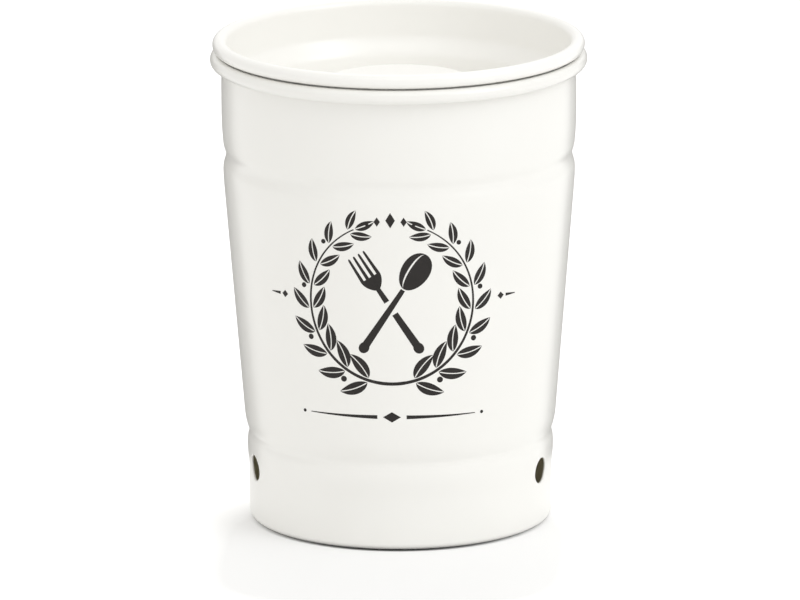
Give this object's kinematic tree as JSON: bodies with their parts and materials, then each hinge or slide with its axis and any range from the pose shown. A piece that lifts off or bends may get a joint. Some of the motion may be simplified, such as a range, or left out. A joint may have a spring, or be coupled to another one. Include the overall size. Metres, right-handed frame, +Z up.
{
  "type": "garlic keeper",
  "caption": "Tapered white sheet-steel pot with rolled grooves, a curled rim and side vents, and a deep recessed lid with a flat round knob that lifts off.",
  "frame": {"origin": "centre of the flat ring that the pot stands on", "axes": "+Z up along the pot's axis, -Y towards the printed front, +X to the right of someone who faces the front"},
  "size_m": [0.13, 0.13, 0.1693],
  "materials": {
    "enamel_pot": "satin white coating",
    "enamel_lid": "satin white coating",
    "steel": "zinc-plated",
    "print_ink": "matt charcoal print"
  },
  "bodies": {
    "pot": {"body_wall": "enamel_pot", "base_pan": "enamel_pot"},
    "lid": {"lid_dish": "enamel_lid", "lid_knob": "enamel_lid", "knob_bush": "steel", "knob_screw": "steel", "knob_washer": "steel"}
  },
  "joints": [
    {"name": "lid_lift", "type": "slide", "parent": "pot", "child": "lid", "axis": [0, 0, 1], "range_m": [0, 0.06]}
  ]
}
